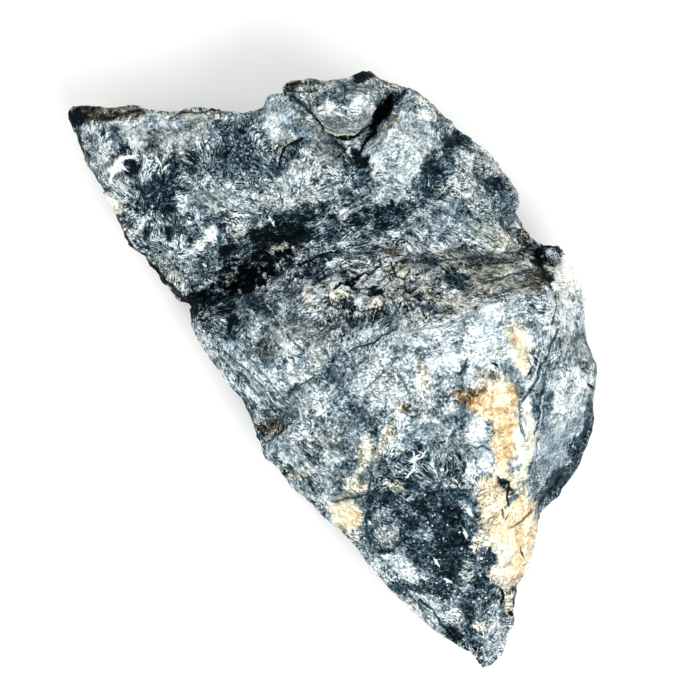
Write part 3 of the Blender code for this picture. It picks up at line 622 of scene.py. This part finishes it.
def fibre_roots(points):
    """The point, in millimetres, that the fibres at each place fan out from."""
    roots = []
    middles = []
    # This share of the height makes the point of the upper side nearer than the one under it.
    upper_side = 0.02 * points[:, 2]
    for u, v, _, back, turn in FANS:
        middle = chart(u, v)
        nearest = np.argmin(np.hypot(*(points[:, :2] - middle).T) - upper_side)
        middles.append((*middle, points[nearest, 2]))
        way = math.radians(turn)
        root = chart(u - back * math.cos(way), v + back * math.sin(way))
        roots.append((*root, points[nearest, 2]))
    reaches = np.array([fan[2] for fan in FANS]) * CHART_SQUARE
    seen = points + wander(points, *FAN_WANDER)
    gaps = np.linalg.norm(seen[:, None, :] - np.array(middles)[None], axis=2) / reaches
    found = np.array(roots)[np.argmin(gaps, axis=1)]
    for i in np.nonzero(np.min(gaps, axis=1) > FAN_END)[0]:
        found[i] = noise.voronoi(Vector(seen[i]) / WILD_FAN)[1][0] * WILD_FAN
    return found


def lay(values, share, value):
    """Lays a value over others, by a share at each point, with soft ends."""
    share = (share * share * (3 - 2 * share))[:, None]
    return values * (1 - share) + np.array(value) * share


def paint(points, upward, ground, palette, patches):
    """Lays patches over a ground, with wandering edges, on the side that faces up."""
    seen = points.copy()
    for waves in PATCH_WANDERS:
        seen += wander(points, *waves)
    values = np.tile(np.array(ground), (len(points), 1))
    for name, u, v, long, short, turn in patches:
        gap = seen[:, :2] - chart(u, v)
        way = math.radians(turn)
        along = (gap[:, 0] * math.cos(way) + gap[:, 1] * math.sin(way)) / (long * CHART_SQUARE)
        aside = (gap[:, 1] * math.cos(way) - gap[:, 0] * math.sin(way)) / (short * CHART_SQUARE)
        share = np.clip((PATCH_END - np.hypot(along, aside)) / PATCH_FADE, 0.0, 1.0) * upward
        values = lay(values, share, palette[name])
    return values


def follow_lines(points, upward):
    """The nearest line's side distance, half width and depth at each point, and its mineral, which on
    some lines is painted shade or a painted highlight.
    """
    nearest = np.full(len(points), np.inf)
    lines = np.zeros((len(points), 3))
    minerals = np.zeros((len(points), 3))
    for name, half_width, depth, places in LINES:
        for first, last in zip(places, places[1:]):
            start, step = chart(*first), chart(*last) - chart(*first)
            gap = points[:, :2] - start
            share = np.clip(gap @ step / (step @ step), 0.0, 1.0)
            away = np.hypot(*(gap - share[:, None] * step).T)
            side = gap[:, 0] * step[1] - gap[:, 1] * step[0]
            closer = away < nearest
            nearest[closer] = away[closer]
            near = np.clip(2.0 - away[closer] / LINE_REACH, 0.0, 1.0) * upward[closer]
            lines[closer, 0] = np.copysign(away[closer], side[closer])
            lines[closer, 1] = half_width * CHART_SQUARE * near
            lines[closer, 2] = depth * near
            minerals[closer] = MINERALS_AND_SHADING[name]
    return lines, minerals


def relief(points, roots, lumps, settings):
    """Height of the fine relief at each point, in millimetres: tilted breaks and fibre bundles."""
    heights = np.empty(len(points))
    chip_size, chip_height = settings.chip_size / MM, settings.chip_height / MM
    splinter_size, splinter_height = settings.splinter_size / MM, settings.splinter_height / MM
    fibre_height = settings.fibre_height / MM
    # Spreads the centres of the breaks apart, so that each has a tilt of its own.
    spread = 7.3
    for i, (place, root, lump) in enumerate(zip(points, roots, lumps)):
        place = Vector(place)
        spray = place - Vector(root)
        height = 0.0
        splinter = splinter_height * (1 + LUMP_GAIN * lump)
        for size, tall in ((chip_size, chip_height), (splinter_size, splinter)):
            scaled = place / size
            centre = noise.voronoi(scaled)[1][0]
            tilt = 2 * noise.cell_vector(centre * spread) - Vector((1, 1, 1))
            height += tall * (tilt.dot(scaled - centre) + 0.5 * tilt.x)
        fan = spray * (BUNDLE_WAVES / (spray.length + ROOT_WIDTH) + LENGTH_WAVES)
        height += fibre_height * 2 * noise.noise(fan)
        heights[i] = height
    return heights


def add_node(tree, kind, inputs=None, **settings):
    """Adds a node with its settings, and sets or links its inputs.

    An input takes a value, an output, or a node, which stands for its first output. Inputs go by
    name or by number: a Mix node mixes numbers at 2 and 3, vectors at 4 and 5, colours at 6 and 7.
    """
    node = tree.nodes.new("ShaderNode" + kind)
    for name, value in settings.items():
        setattr(node, name, value)
    for name, value in (inputs or {}).items():
        if isinstance(value, bpy.types.Node):
            value = value.outputs[0]
        if isinstance(value, bpy.types.NodeSocket):
            tree.links.new(value, node.inputs[name])
        else:
            node.inputs[name].default_value = value
    return node


def needle_bundles(add, place, root, bundle, width, length, spread):
    """Bundles of straight needles that point away from a root, each needle with a tone of its own.

    The function add adds a node to the material.
    """
    # The rock in bundle widths, with borders between the bundles that wander.
    scaled = add("VectorMath", {0: place, "Scale": 1 / bundle}, operation="SCALE")
    drift = add("TexNoise", {"Vector": scaled, "Scale": 0.8, "Detail": 2.0}).outputs["Color"]
    drift = add("VectorMath", {0: drift, "Scale": 0.25}, operation="SCALE")
    scaled = add("VectorMath", {0: scaled, 1: drift}, operation="ADD")
    cells = add("TexVoronoi", {"Vector": scaled, "Scale": 1.0}).outputs
    centre = cells["Position"]
    chance = cells["Color"]

    # The way that each bundle points: away from the root, with a lean of its own.
    middle = add("VectorMath", {0: centre, "Scale": bundle}, operation="SCALE")
    away = add("VectorMath", {0: middle, 1: root}, operation="SUBTRACT")
    away = add("VectorMath", {0: away}, operation="NORMALIZE")
    lean = add("VectorMath", {0: chance, 1: (0.5, 0.5, 0.5)}, operation="SUBTRACT")
    lean = add("VectorMath", {0: lean, "Scale": spread}, operation="SCALE")
    away = add("VectorMath", {0: lean, 1: away}, operation="ADD")
    away = add("VectorMath", {0: away}, operation="NORMALIZE")

    # The bundle in needle widths, squeezed along its way, so that each cell in it is a long needle.
    # Its chance moves it far from the others, so that no two bundles have the same needles.
    local = add("VectorMath", {0: scaled, 1: centre}, operation="SUBTRACT")
    local = add("VectorMath", {0: local, "Scale": bundle / width}, operation="SCALE")
    along = add("VectorMath", {0: local, 1: away}, operation="DOT_PRODUCT").outputs["Value"]
    along = add("Math", {0: along, 1: width / length - 1}, operation="MULTIPLY")
    squeeze = add("VectorMath", {0: away, "Scale": along}, operation="SCALE")
    spot = add("VectorMath", {0: local, 1: squeeze}, operation="ADD")
    spot = add("VectorMath", {0: chance, 1: (50, 50, 50), 2: spot}, operation="MULTIPLY_ADD")
    needles = add("TexVoronoi", {"Vector": spot, "Scale": 1.0}).outputs

    # Painted shade and painted sheen: a needle is painted darker towards its edges, as shade across its
    # round section, and lighter by the painted sheen of its bundle, a random tone per bundle that
    # stands for the silky reflection of the fibres.
    tone = add("SeparateColor", {0: needles["Color"]})
    tone = add("Math", {0: needles["Distance"], 1: -0.6, 2: tone}, operation="MULTIPLY_ADD")
    painted_sheen = add("SeparateColor", {0: chance}).outputs[1]
    return add("Math", {0: painted_sheen, 1: 0.4, 2: tone}, operation="MULTIPLY_ADD")


def mineral_ramp(add, tone, colours):
    """Colours from black to white, evenly spaced in tone."""
    node = add("ValToRGB", {0: tone})
    elements = node.color_ramp.elements
    while len(elements) < len(colours):
        elements.new(0.5)
    for i, (element, colour) in enumerate(zip(elements, colours)):
        element.position = i / (len(colours) - 1)
        element.color = colour
    return node.outputs["Color"]


def fibrous_stone():
    """Massive fibrous silicate rock, broken by hammer.

    It gives the eye silky white needles in fans over a navy and slate ground, cream and rusty patches,
    and a faint gloss on the fibres; its colour also carries painted shade and highlights from the
    markings and a painted sheen on the needle bundles.
    """
    colours = bpy.context.scene.rock_colours
    material = bpy.data.materials.new("fibrous_stone_broken")
    material.use_nodes = True
    material.node_tree.nodes.clear()
    add = functools.partial(add_node, material.node_tree)

    # Places are turned into millimetres here, so every scale below is per millimetre.
    place = add("TexCoord").outputs["Object"]
    place = add("VectorMath", {0: place, "Scale": 1 / MM}, operation="SCALE")
    root = add("Attribute", attribute_name="fibre_root").outputs["Vector"]
    fabric = add("Attribute", attribute_name="fabric").outputs["Vector"]
    fabric = add("SeparateXYZ", {0: fabric}).outputs

    # Long and short needles take turns over 3 mm or so, splinters run through both, and their tones
    # are centred near 0.
    long_needles = needle_bundles(add, place, root, *LONG_NEEDLES)
    short_needles = needle_bundles(add, place, root, *SHORT_NEEDLES)
    splinters = needle_bundles(add, place, root, *SPLINTERS)
    choice = add("TexNoise", {"Vector": place, "Scale": 0.35, "Detail": 3.0})
    choice = add("MapRange", {"Value": choice, "From Min": 0.46, "From Max": 0.54})
    needles = add("Mix", {0: choice, 2: long_needles, 3: short_needles})
    needles = add("Math", {0: needles, 1: 0.4}, operation="SUBTRACT")
    splinters = add("Math", {0: splinters, 1: 0.4}, operation="SUBTRACT")
    needles = add("Math", {0: splinters, 1: 0.35, 2: needles}, operation="MULTIPLY_ADD")

    # Marbling with clear edges, in blots 1 to 3 mm wide, and grains down to 0.15 mm.
    blots = add("TexNoise", {
        "Vector": place, "Scale": 0.42, "Detail": 4.0, "Roughness": 0.65, "Distortion": 0.6,
    })
    blots = add("MapRange", {
        "Value": blots, "From Min": 0.40, "From Max": 0.60, "To Min": -0.10, "To Max": 0.10,
    })
    grains = add("TexNoise", {"Vector": place, "Scale": 1.3, "Detail": 3.0, "Roughness": 0.85})
    grain_drift = add("VectorMath", {0: grains.outputs["Color"], "Scale": 0.9}, operation="SCALE")
    grains = add("Math", {0: grains, 1: 0.5}, operation="SUBTRACT")

    # Sugary crystals 0.28 mm wide, each with a tone of its own.
    spot = add("VectorMath", {0: place, 1: grain_drift}, operation="ADD")
    crystals = add("TexVoronoi", {"Vector": spot, "Scale": 3.6}).outputs["Color"]
    crystals = add("SeparateColor", {0: crystals})
    crystals = add("Math", {0: crystals, 1: 0.5}, operation="SUBTRACT")
    grains = add("Math", {0: crystals, 1: 0.6, 2: grains}, operation="MULTIPLY_ADD")

    # Lines: their mineral replaces the rock's, fully out to 0.7 of the line's half width and not at all
    # past 1.4 of it; on some lines that mineral is painted shade or a painted highlight. A slow wobble
    # and the grains make the edges ragged.
    line = add("Attribute", attribute_name="line").outputs["Vector"]
    line = add("SeparateXYZ", {0: line}).outputs
    wobble = add("TexNoise", {"Vector": place, "Scale": 1.6, "Detail": 4.0})
    wobble = add("Math", {0: wobble, 1: 0.5}, operation="SUBTRACT")
    gap = add("Math", {0: wobble, 1: 0.5, 2: line["X"]}, operation="MULTIPLY_ADD")
    gap = add("Math", {0: gap}, operation="ABSOLUTE")
    wide = add("Math", {0: line["Y"], 1: 1.4}, operation="MULTIPLY")
    inside = add("Math", {0: wide, 1: gap}, operation="SUBTRACT")
    inside = add("Math", {0: grains, 1: 0.2, 2: inside}, operation="MULTIPLY_ADD")
    soft = add("Math", {0: line["Y"], 1: 0.7, 2: 0.01}, operation="MULTIPLY_ADD")
    on_line = add("Math", {0: inside, 1: soft}, operation="DIVIDE", use_clamp=True)
    line_mineral_and_shading = add("Attribute", attribute_name="line_mineral_and_shading").outputs["Vector"]
    # The mineral attribute holds each point's mineral with its painted shade and highlights.
    mineral = add("Attribute", attribute_name="mineral").outputs["Vector"]
    mineral = add("Mix", {0: on_line, 4: mineral, 5: line_mineral_and_shading}, data_type="VECTOR").outputs[1]
    mineral = add("SeparateXYZ", {0: mineral}).outputs

    # Needles and grains by the strengths of the fabric, weaker on the lines.
    needles = add("Math", {0: needles, 1: fabric["X"]}, operation="MULTIPLY")
    pattern = add("Math", {0: grains, 1: fabric["Y"], 2: needles}, operation="MULTIPLY_ADD")
    off_line = add("Math", {0: on_line, 1: -0.7, 2: 1.0}, operation="MULTIPLY_ADD")
    pattern = add("Math", {0: pattern, 1: off_line}, operation="MULTIPLY")

    # The pattern shows a little less on black minerals, and it comes and goes over 3 mm or so.
    shows = add("MapRange", {
        "Value": mineral["X"], "From Min": 0.0, "From Max": 0.35, "To Min": 0.80, "To Max": 0.88,
    })
    clear = add("TexNoise", {"Vector": place, "Scale": 0.33, "Detail": 2.0})
    clear = add("MapRange", {
        "Value": clear, "From Min": 0.35, "From Max": 0.65, "To Min": 0.75, "To Max": 1.3,
    })
    shows = add("Math", {0: shows, 1: clear}, operation="MULTIPLY")
    tone = add("Math", {0: mineral["X"], 1: blots}, operation="ADD")
    tone = add("Math", {0: pattern, 1: shows, 2: tone}, operation="MULTIPLY_ADD")

    # Ragged white specks up to 0.4 mm wide.
    specks = add("TexNoise", {"Vector": place, "Scale": 1.9, "Detail": 1.0})
    specks = add("MapRange", {"Value": specks, "From Min": 0.70, "From Max": 0.74})
    specks = add("Math", {0: specks, 1: fabric["Z"]}, operation="MULTIPLY")
    tone = add("Math", {0: specks, 1: 0.8, 2: tone}, operation="MULTIPLY_ADD")

    cold = mineral_ramp(add, tone, (
        colours.cold_black, colours.cold_navy, colours.cold_dusk,
        colours.cold_slate, colours.cold_pale, colours.cold_white,
    ))
    warm = mineral_ramp(add, tone, (
        colours.warm_black, colours.warm_umber, colours.warm_brown,
        colours.warm_grey, colours.warm_cream, colours.warm_white,
    ))
    rust = mineral_ramp(add, tone, (
        colours.rust_black, colours.rust_dark, colours.rust_brown,
        colours.rust_middle, colours.rust_pale, colours.rust_white,
    ))
    drift = add("TexNoise", {"Vector": place, "Scale": 0.5, "Detail": 4.0})
    drift = add("Math", {0: drift, 1: 0.5}, operation="SUBTRACT")
    warmth = add("Math", {0: drift, 1: 0.6, 2: mineral["Y"]}, operation="MULTIPLY_ADD")
    colour = add("Mix", {0: warmth, 6: cold, 7: warm}, data_type="RGBA").outputs[2]
    colour = add("Mix", {0: mineral["Z"], 6: colour, 7: rust}, data_type="RGBA").outputs[2]

    # Raised needles and grains, and grooves along the cracks, in millimetres.
    height = add("Math", {0: pattern, 1: 0.16}, operation="MULTIPLY")
    groove = add("Math", {0: on_line, 1: line["Z"]}, operation="MULTIPLY")
    height = add("Math", {0: height, 1: groove}, operation="SUBTRACT")
    bump = add("Bump", {"Height": height, "Strength": 0.8, "Distance": MM})

    # The IOR is that of silicate rock. Fine fibres scatter the gloss, so little of it is left.
    roughness = add("Math", {0: needles, 1: -0.25, 2: 0.55}, operation="MULTIPLY_ADD")
    shader = add("BsdfPrincipled", {
        "Base Color": colour, "Roughness": roughness, "Normal": bump,
        "IOR": 1.6, "Specular IOR Level": 0.04,
    })
    add("OutputMaterial", {"Surface": shader})
    return material


class SPECIMEN_OT_model_fragment(bpy.types.Operator):
    """Divides a copy of the solid finely, roughens it and marks its minerals and painted shading."""

    bl_idname = "specimen.model_fragment"
    bl_label = "Model fragment"

    def execute(self, context):
        select_only(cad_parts[NODE])
        bpy.ops.object.duplicate()
        stone = context.active_object
        stone.name = PIECE
        stone.data.name = PIECE
        bpy.ops.object.mode_set(mode="EDIT")
        bpy.ops.mesh.select_all(action="SELECT")
        bpy.ops.mesh.remove_doubles(threshold=0.01 * MM)
        bpy.ops.object.mode_set(mode="OBJECT")
        split_long_edges(stone, LONGEST_EDGE)
        bpy.ops.object.mode_set(mode="EDIT")
        bpy.ops.mesh.select_all(action="SELECT")
        for _ in range(2):
            bpy.ops.mesh.subdivide(number_cuts=1)
            bpy.ops.mesh.vertices_smooth(factor=0.2, repeat=1)
        bpy.ops.object.mode_set(mode="OBJECT")

        mesh = stone.data
        points = read_vectors(mesh, "co") / MM
        normals = read_vectors(mesh, "normal")
        upward = np.clip((normals[:, 2] - UNDERSIDE_RISE) / UNDERSIDE_BLEND, 0.0, 1.0)
        roots = fibre_roots(points)
        fabric = paint(points, upward, FABRICS["needles"], FABRICS, FABRIC_PATCHES)
        lines, line_minerals_and_shading = follow_lines(points, upward)
        heights = relief(points, roots, fabric[:, 3], context.scene.rock_relief)
        roughness = SMOOTH_SHARE + (1 - SMOOTH_SHARE) * fabric[:, 0]
        heights *= roughness * np.clip(1 - FULL_RISE + normals[:, 2], STEEP_SHARE, 1.0)
        heights -= lines[:, 2] * np.clip(GROOVE_END - np.abs(lines[:, 0]) / GROOVE_FADE, 0.0, 1.0)
        low = np.clip(points[:, 2] / FLOOR_FADE, 0.0, 1.0)
        moved = points + normals * (heights * low)[:, None]
        moved[:, 2] = np.maximum(moved[:, 2], 0.0)
        mesh.vertices.foreach_set("co", (moved * MM).ravel())
        mesh.update()

        # The mineral attribute holds the patches' minerals with their painted shade and highlights, and
        # below, the painted crest and hollow shading.
        minerals = paint(points, upward, GROUND, MINERALS_AND_SHADING, PATCHES)
        fine = np.clip(bulges(mesh, moved, normals, FINE_ROUNDS), -FINE_LIMIT, FINE_LIMIT)
        broad = np.clip(bulges(mesh, moved, normals, BROAD_ROUNDS), -BROAD_LIMIT, BROAD_LIMIT)
        # Painted highlight on crests and painted shade in hollows, both stronger on lumps.
        minerals[:, 0] += (FINE_PAINTED_SHADING + fabric[:, 3]) * fine
        minerals[:, 0] += BROAD_PAINTED_SHADING * broad
        markings = {
            "fibre_root": roots,
            "mineral": minerals,
            "fabric": fabric[:, :3],
            "line": lines,
            "line_mineral_and_shading": line_minerals_and_shading,
        }
        for name, values in markings.items():
            attribute = mesh.attributes.new(name, "FLOAT_VECTOR", "POINT")
            attribute.data.foreach_set("vector", values.astype(np.float32).ravel())
        select_only(stone)
        bpy.ops.object.shade_smooth()

        mesh.materials.clear()
        mesh.materials.append(fibrous_stone())
        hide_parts(NODE)
        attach(stone, "root")
        return {"FINISHED"}


def studio_paper(colour):
    """Uncoated studio paper, rolled matt. It gives the eye an even pale ground without gloss."""
    paper = bpy.data.materials.new("studio_paper_matt")
    paper.use_nodes = True
    shader = paper.node_tree.nodes["Principled BSDF"]
    shader.inputs["Base Color"].default_value = colour
    shader.inputs["Roughness"].default_value = 0.9
    return paper


class SPECIMEN_OT_build_stage(bpy.types.Operator):
    """Adds the floor, the soft lights and the camera that looks straight down."""

    bl_idname = "specimen.build_stage"
    bl_label = "Build stage"

    def execute(self, context):
        settings = context.scene.rock_stage
        bpy.ops.mesh.primitive_plane_add(size=FLOOR_WIDTH, location=(0, 0, 0))
        floor = context.active_object
        floor.name = "floor"
        floor.data.materials.append(studio_paper(settings.floor_colour))

        for name, place, size, power in (
            ("key_light", KEY_PLACE, KEY_WIDTH, settings.key_power),
            ("fill_light", FILL_PLACE, FILL_WIDTH, settings.fill_power),
        ):
            bpy.ops.object.light_add(type="AREA", location=place)
            light = context.active_object
            light.name = name
            light.data.size = size
            light.data.energy = power
            light.rotation_euler = Vector(place).to_track_quat("Z", "Y").to_euler()

        world = bpy.data.worlds.new("studio")
        context.scene.world = world
        world.use_nodes = True
        background = world.node_tree.nodes["Background"]
        background.inputs["Color"].default_value = (1, 1, 1, 1)
        background.inputs["Strength"].default_value = settings.sky_strength

        picture_width = PICTURE_WIDTH * CHART_SQUARE * MM
        across, along = chart(*PICTURE_MIDDLE) * MM
        distance = picture_width * settings.lens / SENSOR_WIDTH
        bpy.ops.object.camera_add(location=(across, along, RIM_HEIGHT + distance))
        camera = context.active_object
        camera.data.lens = settings.lens
        camera.data.sensor_width = SENSOR_WIDTH
        context.scene.camera = camera
        context.scene.view_settings.view_transform = "Standard"
        return {"FINISHED"}


class SPECIMEN_PT_panel(bpy.types.Panel):
    """Lists the steps and the values that can be changed."""

    bl_idname = "SPECIMEN_PT_panel"
    bl_label = "Specimen"
    bl_space_type = "VIEW_3D"
    bl_region_type = "UI"
    bl_category = "Specimen"

    def draw(self, context):
        for operator in OPERATORS:
            self.layout.operator(operator.bl_idname)
        for group in PROPERTY_GROUPS:
            settings = getattr(context.scene, group)
            for name in settings.bl_rna.properties.keys():
                if name not in ("rna_type", "name"):
                    self.layout.prop(settings, name)


OPERATORS = (SPECIMEN_OT_model_fragment, SPECIMEN_OT_build_stage)
PROPERTY_GROUPS = {
    "rock_relief": ReliefSettings,
    "rock_colours": MineralColours,
    "rock_stage": StageSettings,
}
CLASSES = (*PROPERTY_GROUPS.values(), *OPERATORS, SPECIMEN_PT_panel)


def register():
    for item in CLASSES:
        bpy.utils.register_class(item)
    for name, group in PROPERTY_GROUPS.items():
        setattr(bpy.types.Scene, name, bpy.props.PointerProperty(type=group))


def unregister():
    for name in PROPERTY_GROUPS:
        delattr(bpy.types.Scene, name)
    for item in reversed(CLASSES):
        bpy.utils.unregister_class(item)


def main():
    register()
    bpy.ops.specimen.model_fragment()
    bpy.ops.specimen.build_stage()


if __name__ == "__main__":
    main()
